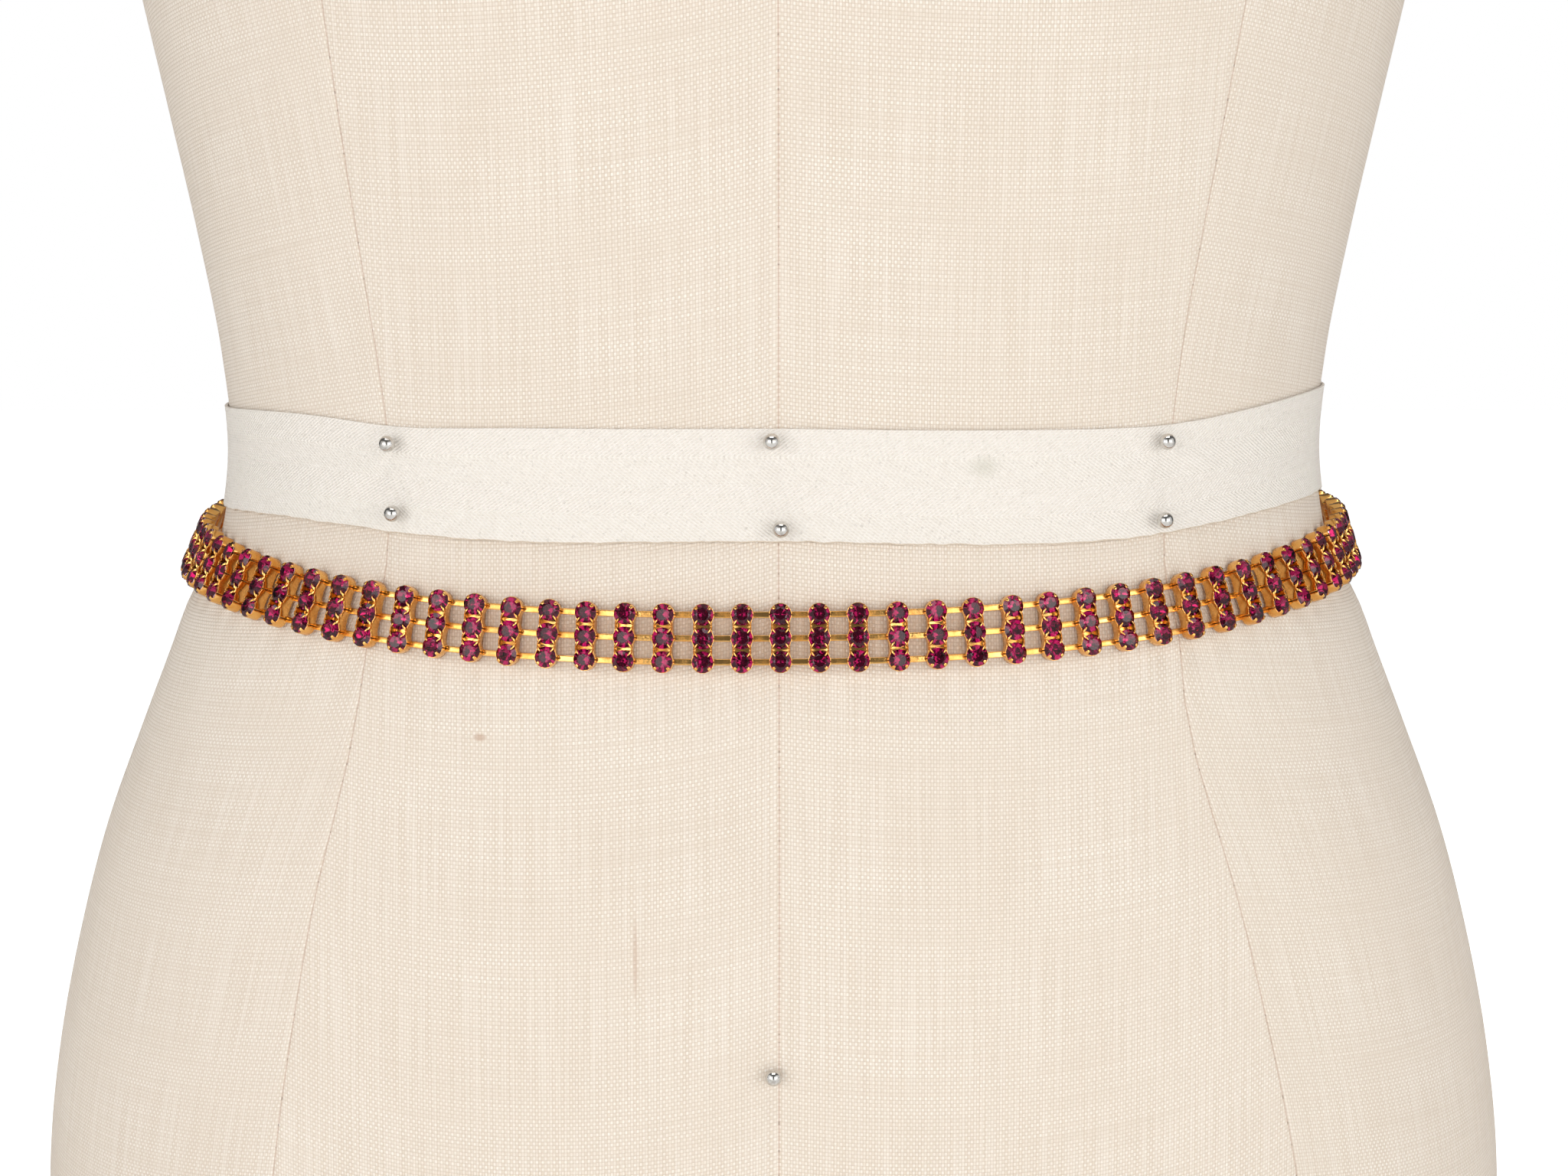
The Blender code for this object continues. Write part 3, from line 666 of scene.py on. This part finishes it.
def path_frame(angle):
    """Axes at a place on the belt: X along it, Y up the form and Z out of it."""
    along_belt = Vector(belt_point(angle + SMALL_STEP) - belt_point(angle - SMALL_STEP)).normalized()
    rising = Vector(belt_point(angle, SMALL_STEP) - belt_point(angle, -SMALL_STEP))
    out = along_belt.cross(rising).normalized()
    axes = Matrix((along_belt, out.cross(along_belt), out)).transposed()
    return Matrix.Translation(Vector(belt_point(angle))) @ axes.to_4x4()


angles = np.linspace(-math.pi, math.pi, PATH_STEPS + 1)
belt_lengths = running_length(belt_point(angles))
closure = belt_lengths[-1] - (COLUMN_COUNT - 1) * COLUMN_PITCH
starts = closure / 2 + BELT_TURN + np.arange(COLUMN_COUNT) * COLUMN_PITCH
column_frames = [path_frame(angle) for angle in np.interp(starts, belt_lengths, angles)]
link_starts = np.concatenate((starts - COLUMN_PITCH / 2, starts[-1:] + COLUMN_PITCH / 2))
link_frames = [path_frame(angle) for angle in np.interp(link_starts, belt_lengths, angles)]

bpy.ops.object.select_all(action="DESELECT")
for row in ROWS:
    bpy.ops.mesh.primitive_cylinder_add(
        vertices=CUP_SIDES, radius=CUP_RADIUS, depth=CUP_RIM - CUP_BACK,
        location=(0.0, row * ROW_PITCH, (CUP_RIM + CUP_BACK) / 2), rotation=(0.0, 0.0, math.pi / CUP_SIDES))
    if row == ROWS[0]:
        strip = bpy.context.object
    else:
        strip.select_set(True)
        bpy.context.view_layer.objects.active = strip
        bpy.ops.object.join()
bpy.ops.object.transform_apply(location=True, rotation=True, scale=True)

bpy.ops.object.mode_set(mode="EDIT")
select_only(strip, "faces", lambda face, middle: middle.z > CUP_RIM - TOUCHING)
bpy.ops.mesh.delete(type="ONLY_FACE")
for row in ROWS:
    for side_of in (-1, 1):
        select_only(strip, "faces", lambda face, middle: abs(face.normal.x) > 0.99
                    and abs(middle.y - row * ROW_PITCH) < 0.0006)
        slot_edge = (0.0, row * ROW_PITCH + side_of * SLOT_WIDTH / 2, 0.0)
        bpy.ops.mesh.bisect(plane_co=slot_edge, plane_no=(0.0, 1.0, 0.0))
select_only(strip, "faces", lambda face, middle: abs(face.normal.x) > 0.99
            and min(abs(middle.y - row * ROW_PITCH) for row in ROWS) < SLOT_WIDTH / 4)
bpy.ops.mesh.delete(type="ONLY_FACE")
select_only(strip, "faces", lambda face, middle: abs(face.normal.z) < 0.5
            and abs(abs(middle.y) - ROW_PITCH / 2) < NECK_REACH)
bpy.ops.mesh.delete(type="ONLY_FACE")
necks = (-ROW_PITCH / 2, ROW_PITCH / 2)
for neck in necks:
    for side_of in (-1, 1):
        select_only(strip, "edges", lambda edge, middle: edge.is_boundary and middle.x * side_of > 0.001
                    and abs(middle.z - (CUP_RIM + CUP_BACK) / 2) < TOUCHING
                    and abs(middle.y - neck) < STEM_REACH)
        bpy.ops.mesh.edge_face_add()
    select_only(strip, "edges", lambda edge, middle: edge.is_boundary and middle.z < CUP_BACK + TOUCHING
                and abs(middle.y - neck) < STEM_REACH)
    bpy.ops.mesh.edge_face_add()
    for cut in ROOT_CUTS:
        select_only(strip, "faces", lambda face, middle: abs(face.normal.z) < 0.5 and abs(middle.x) > 0.0015
                    and abs(middle.y - neck) < STEM_REACH)
        bpy.ops.mesh.bisect(plane_co=(0.0, neck + cut, 0.0), plane_no=(0.0, 1.0, 0.0))
select_only(strip, "edges", lambda edge, middle: edge.is_wire)
bpy.ops.mesh.delete(type="EDGE")
bpy.ops.mesh.select_all(action="SELECT")
bpy.ops.mesh.normals_make_consistent(inside=False)
diagonal = CUP_RADIUS * math.cos(math.pi / CUP_SIDES) * math.sqrt(0.5)
stem_across = CUP_RADIUS * math.cos(3 * math.pi / CUP_SIDES)
root_along = (ROOT_CUTS[2] + ROOT_CUTS[3]) / 2
for across in (-stem_across, stem_across):
    for neck in necks:
        select_only(strip, "edges", lambda edge, middle: abs(middle.x - across) < TOUCHING
                    and abs(middle.z - CUP_RIM) < TOUCHING and abs(middle.y - neck) < ROOT_CUTS[3])
        inward = -math.copysign(STEM_BEND[0], across)
        bpy.ops.mesh.extrude_region_move(TRANSFORM_OT_translate={"value": (inward, 0.0, STEM_BEND[1])})
stem_across -= STEM_BEND[0]
prongs = [((across, end * (ROW_PITCH + diagonal), CUP_RIM), end * ROW_PITCH, END_PRONG)
          for across in (-diagonal, diagonal) for end in (-1, 1)]
prongs += [((across, neck + end * root_along, CUP_RIM + STEM_BEND[1]), neck + end * ROW_PITCH / 2, NECK_PRONG)
           for across in (-stem_across, stem_across) for neck in necks for end in (-1, 1)]
for (root_x, root_y, root_z), cup_y, bends in prongs:
    here = Vector((root_x, root_y, root_z))
    inward = Vector((-root_x, cup_y - root_y, 0.0)).normalized()
    select_only(strip, "edges", lambda edge, middle: (middle - here).length < TOUCHING)
    for reach_in, rise, narrowing in bends:
        step = inward * reach_in + Vector((0.0, 0.0, rise))
        here = here + step
        bpy.ops.mesh.extrude_region_move(TRANSFORM_OT_translate={"value": step})
        bpy.ops.transform.resize(value=(narrowing, narrowing, 1.0), center_override=here)
bpy.ops.object.mode_set(mode="OBJECT")
wall = strip.modifiers.new("sheet thickness", "SOLIDIFY")
wall.thickness = SHEET_THICKNESS
wall.offset = -1.0
bpy.ops.object.modifier_apply(modifier=wall.name)
rims = strip.modifiers.new("rounded rims", "BEVEL")
rims.width = RIM_ROUNDING
rims.segments = 2
rims.limit_method = "ANGLE"
rims.angle_limit = math.radians(50)
bpy.ops.object.modifier_apply(modifier=rims.name)
bpy.ops.object.shade_smooth_by_angle(angle=math.radians(60))

bpy.ops.object.select_all(action="DESELECT")
bpy.ops.mesh.primitive_cube_add(size=1.0, scale=FLAT_LINK, location=(0.0, 0.0, LINK_DROP))
link = bpy.context.object
bpy.ops.object.transform_apply(location=True, rotation=True, scale=True)
bpy.ops.object.mode_set(mode="EDIT")
select_only(link, "edges", lambda edge, middle: abs(middle.x) < TOUCHING)
bpy.ops.mesh.bevel(offset=LINK_ROUNDING, segments=2)
bpy.ops.object.mode_set(mode="OBJECT")
bpy.ops.object.shade_smooth_by_angle(angle=math.radians(50))

# Bright gold plate on stamped brass: warm, nearly a mirror, with the faint waviness of pressed metal and a
# little wear that dulls it in spots.
gold = new_material("bright gold-plated brass")
place = add_node(gold, "ShaderNodeTexCoord", {})["Object"]
press = add_node(gold, "ShaderNodeTexNoise", {"Vector": place, "Scale": 700.0, "Detail": 2.0})[0]
wear = add_node(gold, "ShaderNodeTexNoise", {"Vector": place, "Scale": 260.0, "Detail": 4.0})[0]
dulled = add_node(gold, "ShaderNodeMapRange", {0: wear, 1: 0.4, 2: 0.7, 3: 0.12, 4: 0.34})[0]
tint = add_node(gold, "ShaderNodeMapRange", {0: wear, 1: 0.4, 2: 0.7})[0]
plate = add_node(gold, "ShaderNodeMix", {0: tint, 6: GOLD_BRIGHT, 7: GOLD_WORN}, data_type="RGBA")[2]
press_bump = add_node(gold, "ShaderNodeBump", {"Height": press, "Distance": 0.00010, "Strength": 0.35})[0]
gold_shader = add_node(gold, "ShaderNodeBsdfPrincipled", {
    "Base Color": plate, "Metallic": 1.0, "Roughness": dulled, "Normal": press_bump})[0]
add_node(gold, "ShaderNodeOutputMaterial", {"Surface": gold_shader})
strip.data.materials.append(gold)
link.data.materials.append(gold)


def join_all(name, copies):
    """One piece of many copies, at the origin."""
    bpy.ops.object.select_all(action="DESELECT")
    for copy in copies:
        copy.select_set(True)
    bpy.context.view_layer.objects.active = copies[0]
    bpy.ops.object.join()
    copies[0].name = name
    copies[0].data.name = name
    return copies[0]


sway = random.Random(11)
column_sways = [Euler([math.radians(sway.uniform(-most, most)) for most in COLUMN_SWAY]).to_matrix().to_4x4()
                for _ in range(COLUMN_COUNT)]
stretches = np.array_split(np.arange(COLUMN_COUNT), STRETCH_COUNT)
for number, columns in enumerate(stretches, start=1):
    copies = [place_copy(strip, "strip", column_frames[k] @ column_sways[k]) for k in columns]
    last_links = [COLUMN_COUNT] if number == STRETCH_COUNT else []
    for k in list(columns) + last_links:
        for row in ROWS:
            shift = Matrix.Translation((0.0, row * ROW_PITCH, 0.0))
            copies.append(place_copy(link, "link", link_frames[k] @ shift))
    stretch = join_all(f"belt_metal_{number:02d}", copies)
    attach(stretch, "root")
    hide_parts(f"belt_{number:02d}")
bpy.data.objects.remove(strip)
bpy.data.objects.remove(link)


# Stones
# Round chatons of deep amethyst glass, just under 5 mm across, ground with a flat eight-sided table, star and
# main facets round it and a foiled pavilion underneath. Each sits in its cup under four prongs.
STONE_RADIUS = 0.00244
CULET_HEIGHT = 0.0005
GIRDLE_LOW = 0.00236
TABLE_HEIGHT = 0.00335
MAIN_APOTHEM = 0.00134
MAIN_SLOPE = math.radians(41.0)
STAR_SLOPE = math.radians(24.0)
PAVILION_SLOPE = math.radians(41.0)
CUT_TOLERANCE = 0.000001
POINT_MERGE = 0.00001
STONE_TILT = 4.0

bpy.ops.object.select_all(action="DESELECT")
bpy.ops.mesh.primitive_cylinder_add(
    vertices=16, radius=STONE_RADIUS, depth=TABLE_HEIGHT - CULET_HEIGHT,
    location=(0.0, 0.0, (TABLE_HEIGHT + CULET_HEIGHT) / 2))
stone = bpy.context.object
bpy.ops.object.transform_apply(location=True, rotation=True, scale=True)
bpy.ops.object.mode_set(mode="EDIT")
star_apothem = MAIN_APOTHEM * math.cos(math.pi / 8)
for start, slope, apothem, height, facing in (
        (0.0, MAIN_SLOPE, MAIN_APOTHEM, TABLE_HEIGHT, 1),
        (math.pi / 8, STAR_SLOPE, star_apothem, TABLE_HEIGHT, 1),
        (math.pi / 8, PAVILION_SLOPE, STONE_RADIUS * 0.98, GIRDLE_LOW, -1)):
    for facet in range(8):
        turn = start + facet * math.pi / 4
        heading = Vector((math.cos(turn), math.sin(turn), 0.0))
        normal = heading * math.sin(slope) + Vector((0.0, 0.0, facing * math.cos(slope)))
        bpy.ops.mesh.select_all(action="SELECT")
        bpy.ops.mesh.bisect(plane_co=heading * apothem + Vector((0.0, 0.0, height)), plane_no=normal,
                            use_fill=True, clear_outer=True, threshold=CUT_TOLERANCE)
bpy.ops.mesh.select_all(action="SELECT")
bpy.ops.mesh.remove_doubles(threshold=POINT_MERGE)
bpy.ops.mesh.normals_make_consistent(inside=False)
bpy.ops.object.mode_set(mode="OBJECT")

# Amethyst glass: clear, deeply coloured and highly polished, so it is nearly black-red until a facet throws
# the light back in hot pink. The colour is taken up at the surface, once on the way in and once out.
glass = new_material("cut amethyst glass")
glass_shader = add_node(glass, "ShaderNodeBsdfPrincipled", {
    "Base Color": linear("A41B50"), "Roughness": 0.0, "IOR": 1.42, "Transmission Weight": 1.0})[0]
add_node(glass, "ShaderNodeOutputMaterial", {"Surface": glass_shader})

# Foil behind the glass: a vacuum-coated mirror, faintly lilac from the glass on it, a little cloudy in places
foil = new_material("vacuum-coated foil back")
place = add_node(foil, "ShaderNodeTexCoord", {})["Object"]
cloudy = add_node(foil, "ShaderNodeTexNoise", {"Vector": place, "Scale": 400.0, "Detail": 2.0})[0]
misty = add_node(foil, "ShaderNodeMapRange", {0: cloudy, 1: 0.4, 2: 0.7, 3: 0.03, 4: 0.12})[0]
foil_shader = add_node(foil, "ShaderNodeBsdfPrincipled", {
    "Base Color": linear("E9CBE7"), "Metallic": 1.0, "Roughness": misty})[0]
add_node(foil, "ShaderNodeOutputMaterial", {"Surface": foil_shader})
stone.data.materials.append(glass)
stone.data.materials.append(foil)
for face in stone.data.polygons:
    face.use_smooth = False
    face.material_index = 0 if face.normal.z > 0.1 else 1

spin = random.Random(23)
for number, columns in enumerate(stretches, start=1):
    copies = []
    for k in columns:
        for row in ROWS:
            tilts = [math.radians(spin.uniform(-STONE_TILT, STONE_TILT)) for _ in range(2)]
            tilt = Euler((*tilts, spin.uniform(0.0, math.pi / 4)))
            pivot = Matrix.Translation((0.0, row * ROW_PITCH, GIRDLE_LOW))
            lean = pivot @ tilt.to_matrix().to_4x4() @ Matrix.Translation((0.0, 0.0, -GIRDLE_LOW))
            copies.append(place_copy(stone, "stone", column_frames[k] @ column_sways[k] @ lean))
    setting = join_all(f"stones_{number:02d}", copies)
    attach(setting, "root")
bpy.data.objects.remove(stone)


# Closure
# An end bar with an eye and an end bar with a hook, cut from the same gold-plated brass, hooked together at
# the centre back. Their shapes in the frame are the finished ones and only take the plating.
for name in ("eye_end", "hook_end"):
    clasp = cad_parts[name]
    clasp.data.materials.clear()
    clasp.data.materials.append(gold)


# Floor
# A plain matt white table top that the form stands on, wide enough to reach past the picture on every side.
FLOOR_SIZE = 12.0
FLOOR_SEEN = 0.95
FLOOR_ROUND = 0.14
FLOOR_MIRRORED = 0.05


def add_strength(material, seen, round_it, mirrored):
    """How bright a lit surrounding is: to the camera, on matt things, and in polished or clear ones."""
    ray = add_node(material, "ShaderNodeLightPath", {})
    on_matt = add_node(material, "ShaderNodeMath",
                       {0: ray["Is Diffuse Ray"], 1: round_it - mirrored, 2: mirrored},
                       operation="MULTIPLY_ADD")[0]
    return add_node(material, "ShaderNodeMath", {0: ray["Is Camera Ray"], 1: seen - mirrored, 2: on_matt},
                    operation="MULTIPLY_ADD")[0]


paint = new_material("matt white paint")
glow = add_strength(paint, FLOOR_SEEN, FLOOR_ROUND, FLOOR_MIRRORED)
paint_shader = add_node(paint, "ShaderNodeBsdfPrincipled", {
    "Base Color": linear("F7F6F4"), "Roughness": 0.8, "Emission Color": linear("FFFFFF"),
    "Emission Strength": glow})[0]
add_node(paint, "ShaderNodeOutputMaterial", {"Surface": paint_shader})
bpy.ops.object.select_all(action="DESELECT")
bpy.ops.mesh.primitive_plane_add(size=FLOOR_SIZE, location=(0.0, 0.0, -0.0002))
floor = bpy.context.object
floor.name = "floor"
floor.data.materials.append(paint)


# Light
# Each side of the camera has a wide softbox, a narrow one that reaches between the columns and a hot core for
# sparks, and one hangs overhead. The wide ones and that one aren't seen through glass. The room is white, and
# bright behind the form only.
AIMED_AT = Vector((0.0, 0.0, 0.33))
SOFTBOXES = (
    ("softbox_left", (-1.03, -0.81, 0.45), (1.87, 1.60), 6.6, False),
    ("softbox_right", (1.03, -0.81, 0.45), (1.87, 1.60), 6.5, False),
    ("strip_left", (-0.58, -1.60, 0.45), (0.50, 1.20), 3.9, True),
    ("strip_right", (0.58, -1.60, 0.45), (0.50, 1.20), 3.9, True),
    ("core_left", (-0.88, -0.97, 0.50), (0.40, 0.50), 2.0, True),
    ("core_right", (0.88, -0.97, 0.50), (0.40, 0.50), 2.0, True),
    ("softbox_top", (0.0, -0.2, 1.90), (1.2, 1.2), 13.0, False),
)
ROOM_BEHIND = 1.0
ROOM_ROUND = 0.16
ROOM_MIRRORED = 0.14

for name, location, size, power, seen_in_glass in SOFTBOXES:
    bpy.ops.object.light_add(type="AREA", location=location)
    softbox = bpy.context.object
    softbox.name = name
    softbox.data.shape = "RECTANGLE"
    softbox.data.size, softbox.data.size_y = size
    softbox.data.energy = power
    softbox.visible_transmission = seen_in_glass
    softbox.rotation_euler = (AIMED_AT - Vector(location)).to_track_quat("-Z", "Y").to_euler()

room = bpy.data.worlds.new("white room")
bpy.context.scene.world = room
room.use_nodes = True
room.node_tree.nodes.clear()
strength = add_strength(room, ROOM_BEHIND, ROOM_ROUND, ROOM_MIRRORED)
background = add_node(room, "ShaderNodeBackground", {"Color": linear("FFFFFF"), "Strength": strength})[0]
add_node(room, "ShaderNodeOutputWorld", {"Surface": background})
bpy.context.scene.view_settings.view_transform = "Standard"
